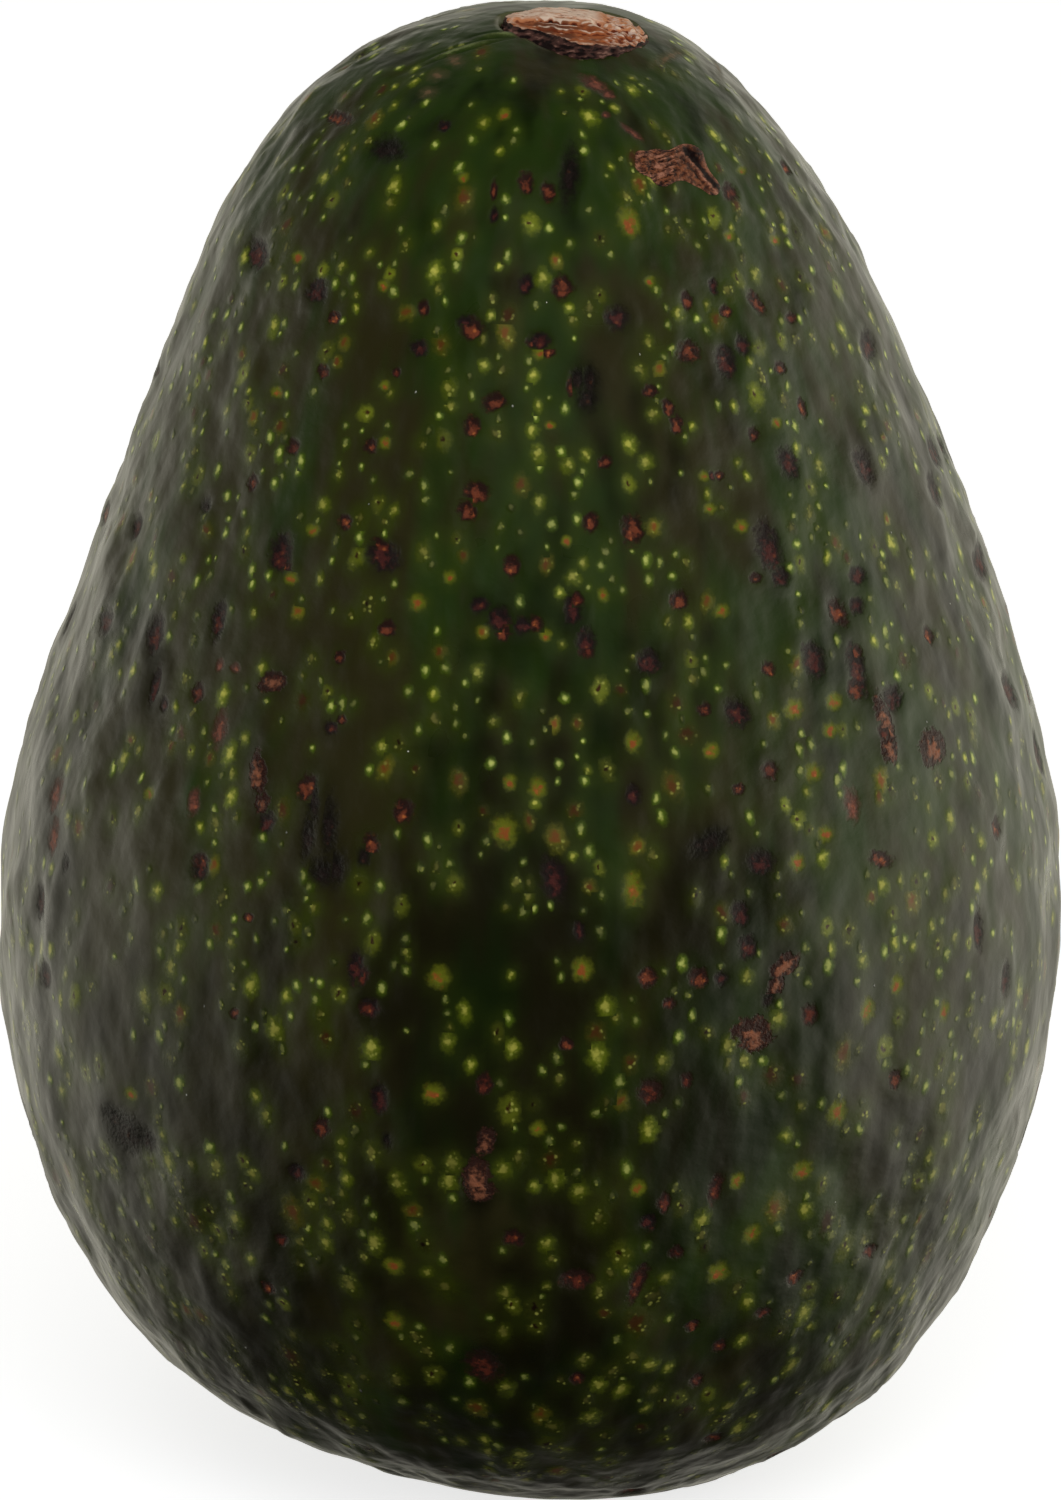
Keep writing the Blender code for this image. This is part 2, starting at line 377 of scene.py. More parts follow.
def grid_normals(points):
    """Outward unit normals of a grid of points that closes round its second axis."""
    along = np.gradient(points, axis=0)
    around = np.roll(points, -1, axis=1) - np.roll(points, 1, axis=1)
    normals = np.cross(around, along)
    return normals / np.maximum(np.linalg.norm(normals, axis=-1, keepdims=True), 1e-9)


def noise_field(places, octaves=1):
    """One value of the noise for each point of an array of any shape, about -1 to 1."""
    flat = places.reshape(-1, 3)
    if octaves == 1:
        values = [noise.noise(p) for p in flat]
    else:
        values = [noise.fractal(p, 0.8, 2.1, octaves) for p in flat]
    return np.array(values).reshape(places.shape[:-1])


def noise_vectors(places):
    """Three values of the noise for each point, at fixed shifts, so that every run gives the same ones."""
    return np.stack([noise_field(places + shift) for shift in WARP_SHIFTS], axis=-1)


def grain_of(points, along):
    """Coordinates whose third part runs along the fruit, drawn out, for streaks from the stem to the foot."""
    out = points[..., :2] - np.stack([middle_shift(points[..., 2]), 0 * points[..., 2]], axis=-1)
    radius = np.maximum(np.linalg.norm(out, axis=-1, keepdims=True), 1e-6)
    spread = out / radius * np.sqrt(radius * FRUIT_WIDTH / 2)
    return np.concatenate([spread, (along / GRAIN_STRETCH + 0 * radius[..., 0])[..., None]], axis=-1)


def skin_relief(points, along, grain):
    """Height of the lumps, pebbles and ripples at each point of the smooth skin."""
    lumps = noise_field(points / LUMP_LENGTH + (3.1, 7.7, 1.9))
    up = along / PEBBLE_STRETCH + 0 * points[..., 0]
    stretched = np.stack([points[..., 0], points[..., 1], up], axis=-1)
    warp = noise_vectors(points / (2.5 * PEBBLE_LENGTH))
    pebbles = noise_field(stretched / PEBBLE_LENGTH + 0.45 * warp)
    ripples = noise_field(grain / RIPPLE_LENGTH + 0.6 * warp, 2)
    patchy = 0.35 + 0.65 * smooth_step(0.5 + 1.2 * noise_field(points / 9.0 + (8.0, 1.0, 4.0)))
    fade = smooth_step(points[..., 2] / RELIEF_FADE_HEIGHT)
    from_stem = np.linalg.norm(points - np.array(STEM_CENTRE), axis=-1) - BUTTON_HALF_WIDTH
    rough = smooth_step(from_stem / CALM_REACH)
    relief = LUMP_HEIGHT * lumps + PEBBLE_HEIGHT * pebbles + RIPPLE_HEIGHT * ripples * patchy
    at_left = smooth_step((STEM_CENTRE.x - 1.5 - points[..., 0]) / 3)
    in_front = smooth_step((STEM_CENTRE.y - 1.5 - points[..., 1]) / 3) * (1 - at_left)
    near_stem = (1 - smooth_step(from_stem / SOCKET_DIP_REACH)) * (points[..., 2] > FRUIT_HEIGHT / 2)
    at_right = smooth_step((points[..., 0] - 5) / 9)
    shoulder = SHOULDER_TRIM * bell(points[..., 2] - SHOULDER_HEIGHT, SHOULDER_REACH)
    hip = HIP_TRIM * bell(points[..., 2] - HIP_HEIGHT, HIP_REACH)
    dip = (SOCKET_DIP - 0.25 * at_left + 0.22 * in_front) * near_stem
    return fade * rough * relief - dip - at_right * (shoulder + hip)


# Marks on the skin: rust spots, scabs, stains and pale dots

class Kind:
    """What one kind of mark looks like."""

    def __init__(self, middle, edge, rise=0.0, cork=0.0, flecks=0.0, soft=0.3, core=0.6, stain=0.0, glow=0.0):
        self.middle, self.edge = middle, edge  # colours, 0 to 255
        self.rise = rise  # height of its middle above the skin, in millimetres
        self.cork = cork  # how cracked and corky, 0 to 1
        self.flecks = flecks  # how strongly it is flecked with orange, 0 to 1
        self.soft = soft  # width of a spot's blurred edge, as a share of its size
        self.core = core  # half width of a dot's middle, as a share of its size
        self.stain, self.glow = stain, glow  # how dark and how yellow-green the skin round it is


SPOT_KINDS = {
    "rust": Kind((124, 62, 40), (44, 24, 20), -0.12, 0.5, 0.7, soft=0.7, stain=0.7, glow=0.3),
    "orange": Kind((152, 82, 36), (110, 116, 24), -0.04, 0.2, 0.5, soft=1.5, glow=1.0),
    "plum": Kind((78, 36, 33), (33, 23, 23), -0.14, 0.5, 0.15, soft=0.9, stain=0.8),
    "black": Kind((34, 24, 22), (20, 16, 13), -0.10, 0.8, 0.05, soft=1.6, stain=0.8),
    "cork": Kind((142, 88, 64), (50, 28, 23), 0.12, 1.0, 0.3, soft=0.3, stain=0.5),
    "pink": Kind((134, 78, 62), (80, 50, 40), -0.05, 0.5, 0.3, soft=1.2),
    "red": Kind((98, 43, 31), (44, 24, 20), -0.11, 0.4, 0.4, soft=0.8, stain=0.6, glow=0.15),
    "stain": Kind((112, 90, 64), (78, 74, 46), 0.0, 0.2, 0.0, soft=2.0),
    "ridge": Kind((116, 128, 78), (70, 82, 38), 0.10, 0.1, 0.0, soft=1.2),
}
DOT_KINDS = {
    "pale": Kind((198, 206, 108), (92, 116, 24), core=0.5, glow=0.5),
    "yellow": Kind((194, 192, 82), (108, 122, 24), core=0.42, glow=0.9),
    "ring": Kind((70, 40, 18), (122, 132, 32), core=0.26, glow=1.0),
    "rusty": Kind((126, 76, 28), (110, 108, 26), core=0.5, glow=0.8),
    "speck": Kind((225, 226, 220), (180, 184, 170), core=0.8),
}

# Spots seen from the front, by kind: column and row of the middle, half the width and half the height as seen,
# all in the photograph's pixels, and the lean in degrees where it isn't upright
FRONT_SPOTS = {
    "rust": [
        (338, 117, 12, 8), (494, 191, 4, 10), (494, 215, 4, 6), (526, 183, 8, 11), (548, 191, 8, 10),
        (335, 318, 6, 7), (423, 308, 6, 8), (472, 328, 12, 11), (324, 372, 6, 8), (494, 402, 12, 9, -20),
        (472, 426, 8, 11), (370, 446, 7, 7), (252, 483, 6, 9), (476, 492, 13, 11), (466, 510, 9, 10),
        (562, 287, 11, 12), (688, 352, 11, 11), (571, 386, 5, 10), (649, 391, 8, 7), (668, 408, 6, 10),
        (676, 424, 6, 12), (781, 367, 6, 7), (804, 406, 4, 10), (754, 434, 6, 8), (536, 342, 10, 7),
        (548, 352, 7, 6), (728, 310, 6, 6), (688, 300, 6, 10), (759, 301, 6, 13, -20), (792, 163, 3, 8, -20),
        (591, 522, 9, 10), (632, 530, 11, 15), (679, 601, 9, 10), (838, 612, 8, 15, -15), (755, 578, 6, 6),
        (856, 652, 5, 8), (857, 688, 9, 11), (930, 634, 5, 9), (880, 859, 12, 8, 20), (567, 1044, 7, 7),
        (322, 1128, 8, 10), (899, 1081, 6, 10), (694, 1328, 7, 6), (269, 1287, 7, 6), (797, 1281, 8, 7),
        (647, 977, 9, 10), (698, 977, 9, 11), (633, 889, 7, 15), (371, 844, 9, 11), (307, 787, 9, 14, 20),
        (512, 566, 8, 12), (346, 522, 7, 8), (468, 513, 10, 8), (341, 657, 6, 7), (342, 720, 5, 5),
        (387, 628, 8, 9), (404, 811, 11, 12), (235, 1013, 5, 5), (248, 917, 5, 5), (996, 828, 5, 12),
        (738, 789, 6, 6), (503, 632, 8, 9), (535, 624, 8, 9), (281, 548, 6, 8), (284, 566, 8, 6),
        (720, 475, 5, 5), (605, 462, 7, 6), (705, 709, 7, 7), (770, 668, 7, 8),
    ],
    "orange": [
        (504, 113, 6, 6), (463, 178, 5, 5), (384, 286, 5, 5), (384, 385, 5, 5), (277, 392, 5, 5),
        (385, 443, 6, 6), (299, 257, 6, 6), (628, 222, 10, 14), (650, 281, 5, 5), (540, 353, 7, 6),
        (776, 423, 5, 5), (550, 425, 5, 4), (704, 476, 5, 5), (747, 166, 4, 4), (733, 234, 5, 5),
        (781, 237, 5, 5), (291, 578, 6, 6), (314, 530, 6, 6), (450, 577, 6, 6), (417, 602, 8, 8),
        (567, 541, 5, 5), (603, 595, 5, 6), (721, 611, 7, 6), (710, 508, 6, 5), (741, 526, 6, 6),
        (545, 635, 6, 6), (711, 751, 7, 7), (633, 742, 7, 10), (813, 772, 8, 8), (832, 730, 7, 7),
        (835, 701, 7, 8), (795, 709, 9, 9), (504, 831, 12, 14), (510, 782, 6, 8), (149, 794, 5, 6),
        (538, 788, 8, 10), (633, 889, 9, 16), (582, 969, 9, 11), (439, 977, 10, 10), (434, 1093, 10, 9),
        (838, 1112, 9, 12), (806, 1173, 9, 9), (755, 1237, 8, 9), (720, 1276, 10, 9), (394, 1265, 8, 8),
        (394, 1321, 8, 8), (638, 1188, 7, 7), (740, 1183, 7, 7), (538, 1129, 7, 7), (826, 834, 7, 7),
        (796, 862, 7, 8), (132, 1093, 5, 6), (900, 985, 5, 9), (870, 1010, 7, 12), (946, 1010, 5, 10),
    ],
    "plum": [
        (444, 125, 6, 6), (318, 291, 10, 12), (494, 215, 5, 7), (257, 253, 11, 13, 20), (419, 348, 9, 8),
        (526, 284, 8, 10, 15), (616, 318, 12, 12, -20), (716, 285, 4, 9), (726, 361, 10, 16), (743, 345, 7, 11),
        (869, 345, 8, 14, -15), (789, 462, 9, 17, -10), (864, 466, 8, 20, -12), (935, 450, 6, 16, -15),
        (934, 490, 7, 18, -15), (539, 341, 12, 9), (465, 322, 8, 7), (135, 525, 4, 12), (157, 632, 7, 20),
        (154, 685, 4, 18), (162, 704, 4, 8), (282, 552, 10, 20), (384, 556, 17, 14, 25), (500, 620, 12, 12),
        (523, 626, 10, 9), (480, 605, 9, 9), (573, 612, 9, 12), (586, 642, 10, 13), (648, 662, 12, 12),
        (331, 728, 7, 7), (266, 822, 8, 10, 20), (571, 608, 7, 14), (769, 548, 12, 26, -10), (781, 576, 9, 10),
        (813, 660, 10, 20, -12), (857, 670, 8, 28, -5), (893, 697, 9, 13), (858, 575, 8, 10), (856, 606, 7, 9),
        (633, 795, 8, 10), (737, 712, 11, 14, -15), (554, 878, 12, 22, -10), (760, 862, 13, 12, 20),
        (747, 947, 9, 12), (740, 913, 9, 12), (720, 979, 7, 8), (579, 930, 6, 9), (380, 1098, 8, 15),
        (356, 968, 9, 16), (370, 1008, 10, 10), (979, 560, 9, 14, -20), (1010, 690, 5, 18, -10),
        (979, 930, 5, 20), (1006, 980, 5, 18), (45, 975, 6, 14), (40, 900, 4, 16), (108, 622, 6, 14),
        (219, 620, 6, 20), (199, 870, 8, 10), (297, 1172, 8, 8), (712, 476, 4, 5), (648, 1222, 8, 8),
    ],
    "black": [
        (387, 149, 17, 13, 10), (570, 175, 10, 30, 10), (578, 378, 9, 13), (587, 398, 11, 13), (590, 380, 9, 14),
        (314, 800, 6, 22, -10), (330, 826, 8, 30, -5), (308, 836, 7, 24), (337, 868, 9, 18), (322, 872, 12, 14),
        (364, 857, 6, 10), (127, 1132, 19, 22), (116, 1118, 12, 12), (146, 1140, 12, 12), (709, 842, 20, 11, -25),
        (387, 1140, 6, 8), (205, 505, 5, 8), (66, 863, 3, 10), (769, 1000, 6, 10),
    ],
    "cork": [
        (258, 772, 8, 22, -12), (262, 802, 7, 12), (884, 718, 7, 28, -12), (889, 748, 8, 16, 0),
        (932, 748, 12, 19, -10), (784, 966, 17, 10, -30), (776, 986, 8, 12, 40), (754, 1034, 20, 17, 25),
        (486, 1140, 9, 14, 15), (477, 1176, 14, 22, 10), (272, 682, 13, 11, -20), (480, 1188, 16, 12),
    ],
    "pink": [
        (596, 82, 9, 13, -30), (608, 92, 6, 7), (632, 131, 4, 12, -35), (219, 664, 4, 7), (218, 728, 7, 18),
        (56, 794, 5, 17), (54, 835, 5, 18), (194, 801, 5, 13), (853, 804, 8, 16), (606, 115, 4, 4),
        (235, 668, 5, 5), (857, 688, 5, 6),
    ],
    "red": [
        (793, 317, 5, 6), (294, 446, 6, 8), (396, 372, 4, 5), (196, 692, 6, 11, 15), (273, 680, 10, 10),
        (769, 770, 8, 10), (885, 735, 5, 14, -12), (485, 1084, 8, 11), (514, 1237, 11, 8, 30), (650, 1090, 12, 12),
        (669, 1003, 7, 6), (810, 1015, 8, 10), (687, 1080, 6, 7), (718, 1192, 7, 15, 12), (664, 1203, 7, 9),
        (677, 1254, 7, 7), (638, 1283, 8, 20, 15), (577, 1279, 16, 9), (483, 1367, 17, 15, -20), (721, 1349, 7, 7),
        (764, 1315, 9, 5), (698, 1384, 7, 6), (577, 1379, 7, 6), (713, 1438, 9, 5), (733, 189, 8, 10, -20),
        (367, 1008, 8, 9), (380, 1100, 7, 12), (362, 975, 8, 9), (586, 650, 8, 9), (577, 600, 7, 8),
        (502, 618, 8, 6), (874, 1254, 6, 7), (281, 1240, 6, 6), (199, 862, 8, 10), (383, 547, 12, 7, 25),
    ],
    "stain": [
        (671, 54, 16, 6, 0), (720, 62, 14, 5, 0), (438, 74, 9, 7, 0), (428, 92, 8, 7, 0), (455, 60, 12, 6, 30),
    ],
    "ridge": [(500, 36, 18, 2.5, -20), (461, 49, 28, 3, -48)],
}
SCATTERED_SPOTS = 190
SCATTERED_KINDS = {"rust": 10, "orange": 6, "plum": 8, "red": 6, "pink": 2, "black": 1, "cork": 1}
DOTS = 4200
DOT_TRIES = 48000
SCATTER_SEED = 11
FAR = 9.0  # a place in a mark's own size that lies well outside it


class Mark:
    """One mark: its place, its own directions across and up the fruit, its half sizes and its colours."""

    def __init__(self, place, normal, half_width, half_height, kind, lean=0.0, tint=1.0):
        up = (Vector((0, 0, 1)) - normal * normal.z).normalized()
        side = up.cross(normal)
        self.place, self.normal = place, normal
        self.up = up * math.cos(lean) + side * math.sin(lean)
        self.side = self.up.cross(normal)
        self.half_width, self.half_height = half_width, half_height
        self.kind = kind
        self.middle = light(*(tint * part for part in kind.middle))
        self.edge = light(*(tint * part for part in kind.edge))
        self.reach = 2.2 * max(half_width, half_height) + 0.6

    def size_at(self, points):
        """Distance from the middle, as a share of the mark's own size."""
        away = points - np.array(self.place)
        side, up = away @ np.array(self.side), away @ np.array(self.up)
        return np.hypot(side / self.half_width, up / self.half_height)


EYE = (VIEW_AIM + VIEW_DISTANCE * VIEW_BACK) / MM


def camera_ray(column, row):
    """The direction from the eye through a pixel of the photograph."""
    across, up = (column - PHOTO_WIDTH / 2) / FOCAL, (PHOTO_HEIGHT / 2 - row) / FOCAL
    return (VIEW_RIGHT * across + VIEW_UP * up - VIEW_BACK).normalized()


def seen_mark(surface, kind, column, row, half_width, half_height, lean=0.0):
    """A mark of the front, from its place and size as seen in the photograph, or None off the fruit."""
    ray = camera_ray(column, row)
    place, normal, _, distance = surface.ray_cast(EYE, ray)
    if place is None:
        return None
    pixel = distance / FOCAL
    up = (Vector((0, 0, 1)) - normal * normal.z).normalized()
    side = up.cross(normal)
    side_seen = max((side - ray * side.dot(ray)).length, 0.35)
    up_seen = max((up - ray * up.dot(ray)).length, 0.35)
    wide, tall = half_width * pixel / side_seen, half_height * pixel / up_seen
    return Mark(place, normal, wide, tall, kind, math.radians(lean))


def skin_surface(skin):
    """The skin's grid of points as a surface that rays can be sent at."""
    rings, sides = skin.shape[:2]
    quads = grid_quads(rings, sides)
    return BVHTree.FromPolygons([Vector(p) for p in skin.reshape(-1, 3)], quads.tolist())


def front_spots(surface):
    rows = [(SPOT_KINDS[name], row) for name, kind_rows in FRONT_SPOTS.items() for row in kind_rows]
    marks = [seen_mark(surface, kind, *row) for kind, row in rows]
    return [mark for mark in marks if mark]


def scattered_spots(skin, normals, taken):
    """Spots like the front's, over the sides and the back."""
    draw = random.Random(SCATTER_SEED)
    names = [name for name, share in SCATTERED_KINDS.items() for _ in range(share)]
    spots = []
    while len(spots) < SCATTERED_SPOTS:
        ring, side = draw.randrange(10, len(skin) - 14), draw.randrange(SIDES)
        place, normal = Vector(skin[ring, side]), Vector(normals[ring, side])
        name = draw.choice(names)
        wide = draw.uniform(0.35, 0.9) * (1.6 if name in ("black", "cork") else 1.0)
        tall = wide * draw.uniform(0.9, 1.9)
        lean, tint = draw.uniform(-0.4, 0.4), draw.uniform(0.8, 1.1)
        wanted = draw.random() < math.hypot(place.x, place.y) * 2 / FRUIT_WIDTH
        facing = normal.dot(EYE - place) / (EYE - place).length
        clear = all((other.place - place).length > other.half_height + tall + 0.5 for other in taken + spots)
        if wanted and facing < 0.15 and clear:
            spots.append(Mark(place, normal, wide, tall, SPOT_KINDS[name], lean, tint))
    return spots


def strewn_dots(skin, normals, spots):
    """Pale dots all over the skin, often a few in a row up the fruit, larger and more rusty low down."""
    draw = random.Random(SCATTER_SEED + 1)
    taken = {}
    near_spots = point_tree([spot.place for spot in spots])
    dots = []
    follow = None
    for _ in range(DOT_TRIES):
        if len(dots) == DOTS:
            break
        if follow and draw.random() < 0.34:
            step = draw.choice((-1, 1)) * draw.uniform(0.7, 1.7)
            ring = follow[0] + step / 0.56
            side = follow[1] + draw.gauss(0, 1.5)
        else:
            ring = draw.uniform(3, len(skin) - 9)
            side = draw.uniform(0, SIDES)
            out = skin[int(ring), int(side) % SIDES]
            if draw.random() > math.hypot(out[0], out[1]) * 2 / FRUIT_WIDTH + 0.06:
                continue
        if not 3 <= ring < len(skin) - 9:
            continue
        place, normal = grid_place(skin, ring, side), Vector(normals[int(ring), int(side) % SIDES])
        crowded = 0.55 + 0.9 * noise.noise(place / 8.0 + Vector((2.0, 6.0, 1.0)))
        if draw.random() > crowded + 0.35:
            continue
        low = float(smooth_step((62 - place.z) / 44))
        wide, tall, name = dot_size(draw, low)
        if not room_for(taken, place, wide) or on_a_spot(near_spots, spots, place, wide):
            continue
        taken.setdefault(cell_of(place), []).append((place, wide))
        # Painted shade: the dots dim by up to a fifth towards the foot
        tint = draw.uniform(0.45, 1.08) * (1 - 0.2 * low)
        dots.append(Mark(place, normal, wide, tall, DOT_KINDS[name], draw.uniform(-0.3, 0.3), tint))
        follow = (ring, side)
    return dots


def dot_size(draw, low):
    """Half width, half height and kind of one dot. low is 0 in the neck and 1 at the foot."""
    chance = draw.random()
    if chance < 0.52 - 0.24 * low:
        name, wide = "pale", draw.uniform(0.16, 0.34)
    elif chance < 0.79 - 0.10 * low:
        name, wide = "yellow", draw.uniform(0.26, 0.52)
    elif chance < 0.87 + 0.01 * low:
        name, wide = "ring", draw.uniform(0.32, 0.54)
    elif chance < 0.985:
        name, wide = "rusty", draw.uniform(0.32, 0.62)
    else:
        name, wide = "speck", draw.uniform(0.04, 0.07)
    wide *= 1 + 0.35 * low
    return wide, wide * draw.uniform(1.0, 1.6), name


def cell_of(place):
    """The 2 mm cell that a place lies in."""
    return tuple(int(part // 2.0) for part in place)


def room_for(taken, place, wide):
    """Whether a dot of this half width stays clear of the dots so far."""
    cell = cell_of(place)
    for x in (-1, 0, 1):
        for y in (-1, 0, 1):
            for z in (-1, 0, 1):
                for other, other_wide in taken.get((cell[0] + x, cell[1] + y, cell[2] + z), ()):
                    if (other - place).length < 0.8 * (wide + other_wide) + 0.25:
                        return False
    return True


def on_a_spot(near_spots, spots, place, wide):
    for _, number, distance in near_spots.find_range(place, 4.0):
        spot = spots[number]
        if spot.size_at(np.array([place]))[0] < 1.0 + wide / spot.half_width:
            return True
    return False


def grid_place(grid, ring, side):
    """The point of the grid between its rings and sides at these fractional numbers."""
    low, left = int(ring), int(side // 1)
    up, right = ring - low, side - left
    corners = [grid[low + i, (left + j) % SIDES] for i in (0, 1) for j in (0, 1)]
    lower = corners[0] * (1 - right) + corners[1] * right
    upper = corners[2] * (1 - right) + corners[3] * right
    return Vector(lower * (1 - up) + upper * up)


def point_tree(points):
    tree = kdtree.KDTree(len(points))
    for number, point in enumerate(points):
        tree.insert(point, number)
    tree.balance()
    return tree


def near_points(tree, place, reach):
    """Numbers of the tree's points within reach of the place."""
    return np.array([number for _, number, _ in tree.find_range(place, reach)], dtype=int)


def nearest_marks(centres, tree, marks):
    """For each face's centre, the number of the mark that covers it or lies nearest, or -1 with none near."""
    owner = np.full(len(centres), -1)
    clearance = np.full(len(centres), np.inf)
    for number, mark in enumerate(marks):
        found = near_points(tree, mark.place, mark.reach)
        if len(found) == 0:
            continue
        clear = (mark.size_at(centres[found]) - 1) * min(mark.half_width, mark.half_height)
        closer = clear < clearance[found]
        clearance[found[closer]] = clear[closer]
        owner[found[closer]] = number
    return owner


def place_in_marks(corners, marks, owner):
    """Where each face's corners lie across and up its own mark: 1 is the mark's edge."""
    middles = np.array([mark.place for mark in marks])[owner][:, None]
    sides = np.array([mark.side / mark.half_width for mark in marks])[owner][:, None]
    ups = np.array([mark.up / mark.half_height for mark in marks])[owner][:, None]
    cores = np.array([mark.kind.core for mark in marks])[owner][:, None] + np.zeros((1, 4))
    away = corners - middles
    places = np.stack([(away * sides).sum(-1), (away * ups).sum(-1), cores], axis=-1)
    places[owner < 0, :, :2] = FAR
    return places


def mark_colours(marks, owner, pick):
    """One of the marks' colours at the corners of each face."""
    return np.repeat(np.array([pick(mark) for mark in marks])[owner][:, None], 4, axis=1)


def halo_field(points, tree, marks):
    """How yellow-green and how dark the skin is round the marks, at each point."""
    glow, stain = np.zeros(len(points)), np.zeros(len(points))
    for mark in marks:
        if mark.kind.glow == 0 and mark.kind.stain == 0:
            continue
        spread = 0.24 + 0.75 * mark.half_width
        found = near_points(tree, mark.place, 2.6 * spread + mark.half_height)
        if len(found) == 0:
            continue
        beyond = np.maximum(mark.size_at(points[found]) - 0.6, 0) * mark.half_width
        share = np.exp(-(beyond / spread) ** 2)
        glow[found] += mark.kind.glow * share
        stain[found] += mark.kind.stain * share
    return 1 - np.exp(-glow), 1 - np.exp(-stain)


def raised_by_marks(points, marks):
    """Height that the marks give the skin at each point of the grid."""
    flat = points.reshape(-1, 3)
    tree = point_tree(flat)
    rise = np.zeros(len(flat))
    for mark in marks:
        found = near_points(tree, mark.place, mark.reach)
        if len(found):
            size = mark.size_at(flat[found])
            rise[found] += mark.kind.rise * (smooth_step((1.3 - size) / 0.8) - 0.5 * bell(size - 1.6, 0.35))
    return np.clip(rise, -0.3, 0.3).reshape(points.shape[:-1])


# The skin

def make_skin():
    """The skin as one closed mesh: the flat spot, the relief up to the stem, and the stem's socket."""
    rim_share = 1 - BUTTON_HALF_WIDTH / CURVE_LENGTH
    fine_share = 1 - (RIM_REACH + 1.0) / CURVE_LENGTH
    shares = np.concatenate([
        np.linspace(0, fine_share, SKIN_RINGS, endpoint=False),
        np.linspace(fine_share, rim_share, RIM_RINGS),
    ])
    angles = np.linspace(0, 2 * math.pi, SIDES, endpoint=False)
    base = skin_points(shares, angles)
    normals = grid_normals(base)
    along = shares[:, None] * CURVE_LENGTH
    grain = grain_of(base, along)
    surface = skin_surface(base)
    spots = front_spots(surface)
    spots += scattered_spots(base, normals, spots)
    relief = skin_relief(base, along, grain) + raised_by_marks(base, spots)
    skin = base + normals * relief[..., None]
    skin[..., 2] = np.maximum(skin[..., 2], 0.0)
    skin[0, :, 2] = 0.0
    dots = strewn_dots(skin, normals, spots)

    flat_middle = skin[0].mean(axis=0)
    flat = [flat_middle + (skin[0] - flat_middle) * (i + 1) / (FLAT_RINGS + 1) for i in range(FLAT_RINGS)]
    socket = socket_rings(angles)
    rings = np.concatenate([np.array(flat), skin, np.array(socket)])
    piece = closed_piece("avocado_skin", rings)
    mesh = piece.data

    corners = face_corners(rings)
    centres = corners.mean(axis=1)
    face_tree = point_tree(centres)
    for name, marks in (("spot", spots), ("dot", dots)):
        owner = nearest_marks(centres, face_tree, marks)
        store(mesh, name + "_place", "CORNER", place_in_marks(corners, marks, owner), (FAR, FAR, 0.3))
        store(mesh, name + "_middle", "CORNER", mark_colours(marks, owner, lambda mark: mark.middle))
        store(mesh, name + "_edge", "CORNER", mark_colours(marks, owner, lambda mark: mark.edge))
        if name == "spot":
            finish = mark_colours(marks, owner, lambda mark: (mark.kind.cork, mark.kind.flecks, mark.kind.soft))
            store(mesh, "spot_finish", "CORNER", finish)

    def whole(values):
        """Values of the skin's rings, repeated for the flat spot's and the socket's."""
        below, above = np.repeat(values[:1], FLAT_RINGS, 0), np.repeat(values[-1:], len(socket), 0)
        return np.concatenate([below, values, above])

    points = rings.reshape(-1, 3)
    glow, stain = halo_field(points, point_tree(points), spots + dots)
    rim = smooth_step((shares - 1) * CURVE_LENGTH + BUTTON_HALF_WIDTH + 0.35) / smooth_step(0.35)
    rim = whole(rim[:, None] + 0 * base[..., 0]).ravel()
    store(mesh, "grain", "POINT", whole(grain).reshape(-1, 3))
    store(mesh, "tone", "POINT", whole(ground_tones(base, grain)).reshape(-1, 3))
    store(mesh, "halo", "POINT", np.stack([glow, stain, rim], axis=-1))
    mesh.materials.append(skin_material())
    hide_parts("fruit")
    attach(piece, "root")
    return skin


# Painted shade and painted light on the front's ground, darker where the share is above 0 and lighter where it is
# below: place across and up, reach across and up, and by what share
FRONT_PAINTED_SHADE_AND_LIGHT = [
    (-3.0, 45.0, 5.5, 17.0, 0.5),
    (8.0, 81.0, 12.0, 10.0, -0.3),
    (-14.0, 66.0, 8.0, 26.0, -0.6),
]


def ground_tones(points, grain):
    """How green, how dark and how dull the skin's ground is, each about 0 to 1, in blotches along the fruit. The
    darkness also holds painted shade that grows towards the foot, and painted shade and painted light in patches
    on the front.
    """
    broad = noise_field(grain * (1, 1, 0.6) / 9.0 + (4.0, 1.0, 7.0), 2)
    streaks = noise_field(grain * (1, 1, 0.7) / 3.2, 3)
    high = smooth_step((points[..., 2] - 62) / 30)
    at_left = smooth_step((-points[..., 0] - 4) / 18)
    green = smooth_step(0.45 + 0.2 * high - 0.25 * at_left + 0.6 * broad + 0.4 * streaks)
    # Painted shade: the ground darkens towards the foot
    low = smooth_step((66 - points[..., 2]) / 44)
    blotches = noise_field(grain * (1, 1, 0.8) / 5.0 + (9.0, 3.0, 2.0), 3)
    front = points[..., 1] < 0
    # The front's patches: painted shade where the share is above 0, painted light where it is below
    painted_shade_and_light = 0
    for x, z, reach_across, reach_up, share in FRONT_PAINTED_SHADE_AND_LIGHT:
        painted_shade_and_light = painted_shade_and_light + share * bell(points[..., 0] - x, reach_across) * bell(points[..., 2] - z, reach_up)
    dark = smooth_step(0.34 + 0.36 * low + 0.7 * blotches + painted_shade_and_light * front)
    dull = smooth_step(0.5 + 0.8 * noise_field(points / 5.0 + (1.0, 5.0, 9.0), 2))
    return np.stack([green, dark, dull], axis=-1)


def stem_frame():
    """The stem's place and lean: its own +Z runs out of the fruit."""
    lean = Matrix.Rotation(STEM_TILT_RIGHT, 4, "Y") @ Matrix.Rotation(STEM_TILT_FRONT, 4, "X")
    return Matrix.Translation(STEM_CENTRE) @ lean


def to_fruit(points):
    """Points of the stem's own frame, as an array of any shape, in the fruit's frame."""
    place = np.array(stem_frame())
    return points @ place[:3, :3].T + place[:3, 3]


